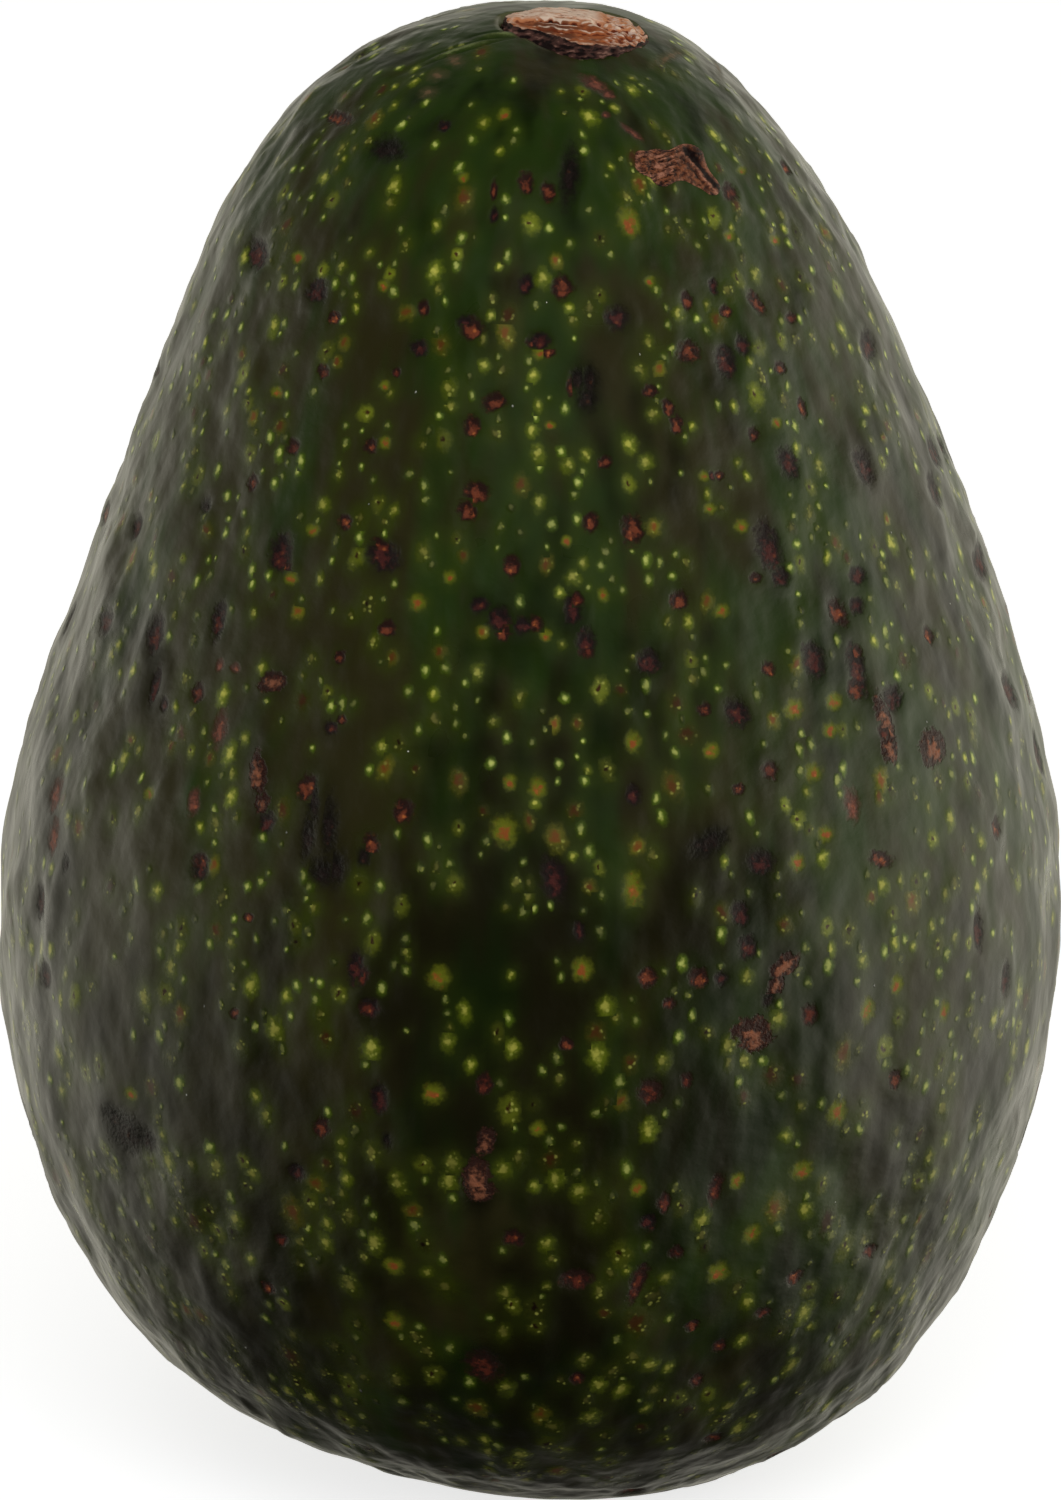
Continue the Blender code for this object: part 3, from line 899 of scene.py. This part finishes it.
def button_ring(angles, scale, margin, height):
    """Points level round the stem's axis, at this share of the button's reach and this margin outside it."""
    reach = scale * button_reach(angles) + margin
    return np.stack([reach * np.cos(angles), reach * np.sin(angles), height + 0 * angles], axis=-1)


def socket_rings(angles):
    """The socket's wall and floor round the button's root."""
    wall = [to_fruit(button_ring(angles, 1.0, SOCKET_GAP - 0.02, depth)) for depth in (-0.35, -0.9, -1.5)]
    return wall + [to_fruit(button_ring(angles, 0.5, 0.0, -1.5))]


def grid_quads(rings, sides):
    """Faces between the rings of a grid that closes round, each as the numbers of its four points."""
    ring, side = np.meshgrid(np.arange(rings - 1), np.arange(sides), indexing="ij")
    here, following = (ring * sides + side).ravel(), (ring * sides + (side + 1) % sides).ravel()
    return np.stack([here, following, following + sides, here + sides], axis=-1)


def face_corners(rings):
    """The corners' places of each face of the grid, in the order of its faces."""
    return rings.reshape(-1, 3)[grid_quads(*rings.shape[:2])]


def closed_piece(name, rings):
    """A mesh whose skin joins the rings in turn, closed by a fan at each end, with rings in millimetres."""
    count, sides = rings.shape[:2]
    low, high = rings[0].mean(axis=0), rings[-1].mean(axis=0)
    points = np.concatenate([rings.reshape(-1, 3), [low, high]]) * MM
    first, last = count * sides, count * sides + 1
    top_start = (count - 1) * sides
    bottom = [(first, (i + 1) % sides, i) for i in range(sides)]
    top = [(last, top_start + i, top_start + (i + 1) % sides) for i in range(sides)]
    mesh = bpy.data.meshes.new(name)
    mesh.from_pydata(points.tolist(), [], grid_quads(count, sides).tolist() + bottom + top)
    mesh.shade_smooth()
    piece = bpy.data.objects.new(name, mesh)
    bpy.context.scene.collection.objects.link(piece)
    return piece


def store(mesh, name, domain, values, rest=None):
    """Keeps a vector or a colour for each point or face corner. The fans take rest, or else the last value."""
    values = np.asarray(values, dtype=np.float32)
    values = values.reshape(-1, values.shape[-1])
    count = len(mesh.vertices if domain == "POINT" else mesh.loops)
    rest = values[-1] if rest is None else np.array(rest, dtype=np.float32)
    values = np.concatenate([values, np.repeat(rest[None], count - len(values), 0)])
    colour = values.shape[-1] == 4
    layer = mesh.attributes.new(name, "FLOAT_COLOR" if colour else "FLOAT_VECTOR", domain)
    layer.data.foreach_set("color" if colour else "vector", values.ravel())


def skin_material():
    paint = Paint("avocado_skin")
    place = paint.place_in_mm()
    green, dark, dull = paint.parts(paint.attribute("tone"))
    glow, stain, rim = paint.parts(paint.attribute("halo"))
    mottle = paint.noise(paint.attribute("grain"), 1.3, 3.0, 0.5)
    ragged = paint.noise(paint.vector_math("ADD", place, (5.1, 3.3, 0.7)), 0.55, 2.0, 0.6, "Color")
    ragged = paint.vector_math("SUBTRACT", ragged, (0.5, 0.5, 0.5))
    specks = paint.add("ShaderNodeTexVoronoi", {"Vector": place, "Scale": 1 / 0.45}).outputs["Distance"]
    specks = paint.between(specks, 0.42, 0.1)

    # Ground colour: green, olive and nearly black in blotches drawn out along the fruit, with the painted shade
    # and painted light that the tone's darkness holds
    greenness = paint.scaled(mottle, 0.3, paint.math("SUBTRACT", green, 0.15))
    ground = paint.mix(paint.between(greenness, 0.15, 1.05), light(46, 43, 20), light(37, 55, 16))
    shade = paint.scaled(mottle, 0.3, paint.math("SUBTRACT", dark, 0.15))
    shade = paint.between(shade, 0.0, 1.0, 1.15, 0.42)
    ground = paint.mix(1.0, ground, shade, "MULTIPLY")
    ground = paint.mix(paint.times(stain, 0.6), ground, light(22, 20, 12))
    halo = paint.times(glow, paint.between(mottle, 0.25, 0.65, 0.55, 0.95))
    # The halos fade where the ground is dark, and so under its painted shade too
    halo = paint.times(halo, paint.between(dark, 0.3, 1.0, 1.0, 0.5))
    colour = paint.mix(halo, ground, light(62, 76, 16))

    colour, dot_mask = dots_over(paint, colour, ragged, specks)
    colour, spot_mask, crust = spots_over(paint, colour, place, ragged, specks)
    colour = paint.mix(paint.times(rim, 0.35), colour, light(140, 134, 96))

    paint.put(paint.shader.inputs["Base Color"], colour)
    rough = paint.scaled(dull, 0.14, 0.27)
    paint.put(paint.shader.inputs["Roughness"], paint.scaled(spot_mask, 0.2, rough))
    paint.shader.inputs["IOR"].default_value = 1.45
    paint.shader.inputs["Metallic"].default_value = 0.0

    pores = paint.noise(place, 0.4, 1.0)
    bumps = paint.noise(paint.vector_math("MULTIPLY", place, (1.0, 1.0, 0.75)), 1.6, 1.0, 0.4)
    height = paint.scaled(pores, 0.016, paint.times(bumps, 0.17))
    height = paint.scaled(dot_mask, 0.03, height)
    height = paint.scaled(spot_mask, -0.04, height)
    paint.bump(paint.scaled(crust, 0.2, height))
    return paint.material


def dots_over(paint, colour, ragged, specks):
    """The colour with the dots on it, and where they are."""
    across, along, core = paint.parts(paint.attribute("dot_place"))
    bend_across, bend_along, _ = paint.parts(ragged)
    across = paint.scaled(bend_across, 1.3, across)
    along = paint.scaled(bend_along, 1.3, along)
    away = paint.vector_math("LENGTH", paint.joined(across, along))
    mask = paint.between(away, 1.5, 0.3)
    body = paint.attribute("dot_edge", "Color")
    bright = paint.times(specks, paint.between(away, 1.0, 0.5, 0.0, 0.75))
    body = paint.mix(bright, body, light(190, 192, 92))
    off_middle = paint.joined(paint.math("ADD", across, 0.1), paint.math("ADD", along, -0.1))
    inner = paint.between(
        paint.vector_math("LENGTH", off_middle), paint.times(core, 1.6), paint.times(core, 0.3)
    )
    dot = paint.mix(inner, body, paint.attribute("dot_middle", "Color"))
    return paint.mix(mask, colour, dot), mask


def spots_over(paint, colour, place, ragged, specks):
    """The colour with the spots on it, where they are, and the height of their cracked crust."""
    across, along, _ = paint.parts(paint.attribute("spot_place"))
    cork, flecked, soft = paint.parts(paint.attribute("spot_finish"))
    bend_across, bend_along, _ = paint.parts(ragged)
    across = paint.scaled(bend_across, 1.2, across)
    along = paint.scaled(bend_along, 1.2, along)
    away = paint.vector_math("LENGTH", paint.joined(across, along))
    inside = paint.math("DIVIDE", paint.math("SUBTRACT", 1.05, away), paint.scaled(soft, 0.7, 0.12))
    mask = paint.between(inside, -0.4, 0.6)
    grains = paint.noise(place, 0.42, 2.0, 0.55)
    from_core = paint.vector_math("LENGTH", paint.joined(across, paint.math("ADD", along, 0.2)))
    core = paint.math("ADD", paint.between(from_core, 0.95, 0.0), paint.scaled(grains, 2.4, -1.25))
    ripe = paint.between(core, 0.05, 1.05)
    spot = paint.mix(ripe, paint.attribute("spot_edge", "Color"), paint.attribute("spot_middle", "Color"))
    flecks = paint.times(paint.times(specks, paint.between(core, 0.4, 1.0)), flecked)
    spot = paint.mix(flecks, spot, light(208, 118, 60))
    crust = paint.times(paint.times(mask, cork), paint.math("SUBTRACT", grains, 0.5))
    return paint.mix(mask, colour, spot), mask, crust


# The stem button

BUTTON_SIDES, WALL_RINGS, TOP_RINGS = 260, 16, 90


def make_button():
    """A torn plug of cork: a fissured side that leans out, a ragged rim, and a split, ridged top."""
    angles = np.linspace(0, 2 * math.pi, BUTTON_SIDES, endpoint=False)
    rim = rim_share(angles)
    base = -0.45
    root = ((0.93, -1.3), (0.97, -0.8), (1.0, base))
    rings = [button_ring(angles, scale, 0.0, height) for scale, height in root]
    tones = [np.zeros((BUTTON_SIDES, 3)) for _ in rings]
    rim_ring = button_ring(angles, rim, 0.0, 0.0)
    rim_height = top_height(rim_ring[:, 0], rim_ring[:, 1])
    for step in range(1, WALL_RINGS + 1):
        rise = step / WALL_RINGS
        ring = button_ring(angles, 1 + (rim - 1) * rise ** 1.3, 0.0, 0.0)
        ring[:, 2] = base + (rim_height - base) * rise ** 0.8
        places = np.stack([ring[:, 0] * 0.8, ring[:, 1] * 0.8, ring[:, 2] * 3.0], axis=-1)
        bark = noise_field(places * 1.8 + (1.0, 1.0, 4.0), 4)
        ring[:, :2] *= (1 + 0.05 * bark * math.sin(math.pi * rise ** 0.7))[:, None]
        rings.append(ring)
        # The wall's bulge, kept for its painted highlights and painted shade
        tones.append(np.stack([bark, 0 * bark, 0 * bark], axis=-1))
    for share in np.linspace(1, 0, TOP_RINGS + 1)[1:-1]:
        ring = button_ring(angles, rim * share, 0.0, 0.0)
        ring[:, 2] = top_height(ring[:, 0], ring[:, 1])
        rings.append(ring)
        # How near the top's rim, for the painted highlight along it
        edge = bell(share - 0.95, 0.05) + 0 * angles
        tones.append(np.stack([ridge_height_for_shading(ring[:, 0], ring[:, 1]), 1 + 0 * angles, edge], axis=-1))
    rings = np.array(rings)
    piece = closed_piece("stem_cork", to_fruit(rings))
    store(piece.data, "button_place", "POINT", rings)
    store(piece.data, "button_shading_and_top", "POINT", np.array(tones))
    piece.data.materials.append(cork_material())
    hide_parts("stem_button")
    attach(piece, "root")


def rim_share(angles):
    """The top rim's reach as a share of the button's own: the side slopes in most at the front left."""
    from_front_left = np.abs((angles - math.radians(228) + math.pi) % (2 * math.pi) - math.pi)
    from_front = np.abs((angles - math.radians(285) + math.pi) % (2 * math.pi) - math.pi)
    torn = 0.012 * np.sin(13 * angles + 1.0) + 0.01 * np.sin(29 * angles) + 0.008 * np.sin(47 * angles + 2.0)
    return 0.965 - 0.34 * bell(from_front_left, 0.6) - 0.10 * bell(from_front, 0.5) + torn


def ridge_height_for_shading(x, y):
    """How far the top stands above its surroundings at each point, in millimetres, for the top's painted
    highlights and painted shade.
    """
    reach = 0.22
    around = [top_height(x + dx, y + dy) for dx, dy in ((reach, 0), (-reach, 0), (0, reach), (0, -reach))]
    return top_height(x, y) - sum(around) / 4


def top_height(x, y):
    """Height of the button's torn top: a back terrace, a crack under it, a middle ledge, a low front floor."""
    places = np.stack([x, y, 0 * x], axis=-1)
    wander = 0.34 * noise_field(places * (0.9, 0.3, 1.0) + (4.0, 9.0, 0.0), 2)
    back = y - 0.35 - wander
    cliff = y + 0.9 - 1.3 * wander
    middle = smooth_step((x + 3.2) / 0.9) * smooth_step((2.2 - x) / 0.6)
    terrace = 0.24 * smooth_step(back / 0.35 + 0.5)
    ledge = 0.2 * smooth_step(cliff / 0.25 + 0.5) * (0.35 + 0.65 * middle)
    ridge = 0.16 * bell(back - 1.0, 0.8) * smooth_step((x + 3.4) / 1.2) * smooth_step((1.6 - x) / 1.0)
    crack = -0.5 * bell(back + 0.05, 0.075) * smooth_step((x + 2.5) / 0.6) * smooth_step((0.5 - x) / 0.6)
    hole = -0.6 * np.exp(-(((x - 1.55) / 0.3) ** 2 + ((y - 0.6) / 0.42) ** 2))
    lip = 0.3 * np.exp(-(((x - 1.2) / 0.55) ** 2 + ((y + 0.05) / 0.26) ** 2))
    right = smooth_step((x - 1.6) / 0.8)
    knob = 0.3 * np.exp(-(((x - 4.0) / 0.45) ** 2 + ((y + 0.6) / 0.5) ** 2))
    lumps = (0.06 + 0.16 * right) * noise_field(places * 1.5 + (2.0, 2.0, 2.0), 2)
    grit = 0.035 * noise_field(places * (1.6, 5.0, 1.0) + (1.0, 2.0, 3.0), 3)
    edge = np.hypot(x / BUTTON_HALF_WIDTH, y / BUTTON_HALF_DEPTH)
    droop = -0.16 * smooth_step((edge - 0.8) / 0.2) - 0.25 * smooth_step((x - 2.6) / 2.0)
    front_lip = 0.14 * bell(edge - 0.66, 0.09) * smooth_step((-y - 0.4) / 0.8)
    return 0.5 + terrace + ledge + ridge + crack + hole + lip + knob + lumps + grit + droop + front_lip


def cork_material():
    paint = Paint("stem_cork")
    place = paint.attribute("button_place")
    x, y, _ = paint.parts(place)
    ridge, on_top, edge = paint.parts(paint.attribute("button_shading_and_top"))
    fibre = paint.noise(paint.vector_math("MULTIPLY", place, (0.9, 2.2, 2.2)), 0.7, 4.0, 0.65)
    broad = paint.noise(place, 1.5, 3.0, 0.55)

    # The top: pale and pinkish at the back, orange brown in front, with painted highlights cream on the ridges and
    # painted shade dark in the cracks
    behind = paint.scaled(broad, 1.6, paint.math("ADD", y, -1.0))
    front = paint.mix(paint.between(broad, 0.4, 0.6), light(118, 66, 42), light(178, 100, 58))
    top = paint.mix(paint.between(behind, -0.3, 0.5), front, light(214, 142, 98))
    relief_for_painted_light = paint.math("ADD", ridge, paint.scaled(fibre, 0.12, -0.06))
    plate = paint.times(paint.between(y, 0.4, 0.9), paint.between(x, 2.0, 1.0))
    plate = paint.times(plate, paint.between(fibre, 0.36, 0.52, 0.3, 0.95))
    top = paint.mix(plate, top, light(255, 226, 204))
    # Painted highlight: cream on the ridges
    top = paint.mix(paint.between(relief_for_painted_light, 0.02, 0.09, 0.0, 0.8), top, light(255, 232, 210))
    right = paint.times(paint.between(x, 1.8, 2.6), paint.between(fibre, 0.48, 0.6))
    top = paint.mix(paint.times(right, 0.75), top, light(226, 204, 190))
    # Painted shade: dark brown in the shallow hollows, nearly black in the deep cracks
    top = paint.mix(paint.between(relief_for_painted_light, -0.01, -0.06), top, light(120, 54, 30))
    top = paint.mix(paint.between(ridge, -0.09, -0.16), top, light(38, 20, 16))
    # Painted highlight: a cream line along the top's rim, broken by the fibre
    top = paint.mix(paint.times(edge, paint.between(fibre, 0.4, 0.6)), top, light(224, 186, 160))

    # The side: dark purple brown bark with fibre streaks, painted paler where the wall bulges out and darker in
    # its furrows, as painted highlight and painted shade
    bark = paint.math("ADD", ridge, paint.scaled(fibre, 1.4, -0.7))
    side = paint.mix(paint.between(bark, -0.25, 0.35), light(30, 20, 20), light(82, 54, 48))
    side = paint.mix(paint.between(bark, 0.38, 0.7), side, light(134, 98, 86))
    paint.put(paint.shader.inputs["Base Color"], paint.mix(on_top, side, top))
    paint.shader.inputs["Roughness"].default_value = 0.7
    paint.shader.inputs["IOR"].default_value = 1.4
    grit = paint.noise(place, 0.2, 3.0, 0.6)
    paint.bump(paint.scaled(fibre, 0.09, paint.times(grit, 0.05)))
    return paint.material


# The woody scar on the shoulder

# Its outline and middle in the photograph's pixels, from its left end round below it
SCAR_OUTLINE = [
    (637, 151), (635, 161), (636, 169), (642, 174), (650, 178), (657, 185), (667, 186), (675, 182),
    (685, 181), (693, 185), (703, 190), (711, 195), (718, 194), (720, 188), (714, 177), (707, 166),
    (703, 155), (696, 147), (686, 144), (677, 146), (669, 150), (655, 149), (645, 151),
]
SCAR_MIDDLE = (677.0, 167.0)
SCAR_HUMP = (695.0, 154.0)
SCAR_BAND = ((684.0, 151.0), (718.0, 190.0))
SCAR_SIDES, SCAR_RINGS = 180, 40
PIXEL_SIZE = 0.066  # millimetres of the fruit that one pixel shows


def make_scar(skin):
    """A raised, cracked scab on the skin, with its left part split across and a dark band down its right."""
    surface = skin_surface(skin)
    outline = smooth_loop(np.array(SCAR_OUTLINE), SCAR_SIDES)
    middle = np.array(SCAR_MIDDLE)
    scales = np.concatenate([[1.0, 1.0], np.linspace(1.0, 0.03, SCAR_RINGS)])
    depths = np.concatenate([[-0.35, -0.1], np.zeros(SCAR_RINGS)])
    rings, tones = [], []
    for scale, depth in zip(scales, depths):
        pixels = middle + (outline - middle) * scale
        height, dark, pale = scar_form(pixels, scale)
        ring = []
        for (column, row), rise in zip(pixels, height):
            place, normal, _, _ = surface.ray_cast(EYE, camera_ray(column, row))
            ring.append(place + normal * (rise if depth == 0 else depth))
        rings.append(ring)
        tones.append(np.stack([dark, pale, 0 * dark], axis=-1))
    piece = closed_piece("shoulder_scar", np.array(rings, dtype=float))
    store(piece.data, "scar_tone", "POINT", np.array(tones).reshape(-1, 3))
    piece.data.materials.append(scar_material())
    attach(piece, "root")


def smooth_loop(points, count):
    """A closed smooth curve through the points, as this many points."""
    whole = np.concatenate([points[-3:], points, points[:3]])
    lengths = np.concatenate([[0], np.cumsum(np.linalg.norm(np.diff(whole, axis=0), axis=1))])
    start, end = lengths[3], lengths[3 + len(points)]
    samples = np.linspace(start, end, count, endpoint=False)
    return np.stack([natural_spline(lengths, whole[:, i], samples) for i in (0, 1)], axis=-1)


def scar_form(pixels, scale):
    """Height in millimetres, darkness and paleness of the scar at each pixel."""
    column, row = pixels[:, 0], pixels[:, 1]
    millimetres = np.stack([column, row, 0 * row], axis=-1) * PIXEL_SIZE
    left = smooth_step((682 - column) / 10)
    sloping = millimetres + 0.12 * (column[:, None] - 660) * PIXEL_SIZE * (0, 1, 0)
    bent = sloping + 0.5 * noise_vectors(sloping * 0.9) * (0, 1, 0)
    fissures = noise_field(bent * (0.7, 3.6, 1.0) + (3.0, 1.0, 5.0), 3)
    split = left * bell(fissures + 0.1, 0.09)
    start, end = map(np.array, SCAR_BAND)
    direction = (end - start) / np.linalg.norm(end - start)
    along = (pixels - start) @ direction
    across = (pixels - start) @ np.array([direction[1], -direction[0]])
    on_band = smooth_step((along + 6) / 8) * smooth_step((58 - along) / 6)
    wave = 1.3 * noise_field(millimetres * 1.3 + (7.0, 7.0, 1.0))
    band = on_band * bell(across - 1.0 + wave, 2.6)
    strands = on_band * bell(across + 7.0 + 1.5 * wave, 1.3)
    hump = np.exp(-(((column - SCAR_HUMP[0]) / 10) ** 2 + ((row - SCAR_HUMP[1]) / 8) ** 2))
    crumbs = noise_field(millimetres * 3.0, 3)
    rim = smooth_step((scale - 0.82) / 0.16)
    body = 0.10 * (1 - scale ** 8)
    height = body + 0.16 * hump - 0.14 * split - 0.18 * band - 0.1 * strands + 0.08 * crumbs
    dark = np.clip(1.3 * split + 1.3 * band + 0.9 * hump + 0.7 * strands - 0.6 * crumbs, 0, 1)
    flakes = left * smooth_step(fissures * 4 - 0.3) + on_band * bell(across + 3.5 + wave, 1.2)
    pale = np.clip(0.6 * rim * (1 - hump) + 0.9 * flakes, 0, 1)
    return np.maximum(height, 0.02), dark, pale


def scar_material():
    paint = Paint("shoulder_scar")
    dark, pale, _ = paint.parts(paint.attribute("scar_tone"))
    place = paint.place_in_mm()
    grit = paint.noise(place, 0.3, 4.0, 0.65)
    colour = paint.mix(paint.between(grit, 0.38, 0.62), light(72, 38, 28), light(142, 84, 54))
    pale = paint.times(pale, paint.between(grit, 0.4, 0.62, 0.2, 1.0))
    colour = paint.mix(pale, colour, light(186, 128, 104))
    colour = paint.mix(dark, colour, light(26, 14, 14))
    paint.put(paint.shader.inputs["Base Color"], colour)
    paint.shader.inputs["Roughness"].default_value = 0.6
    paint.bump(paint.times(grit, 0.1))
    return paint.material


camera_and_stage()
final_skin = make_skin()
make_scar(final_skin)
make_button()
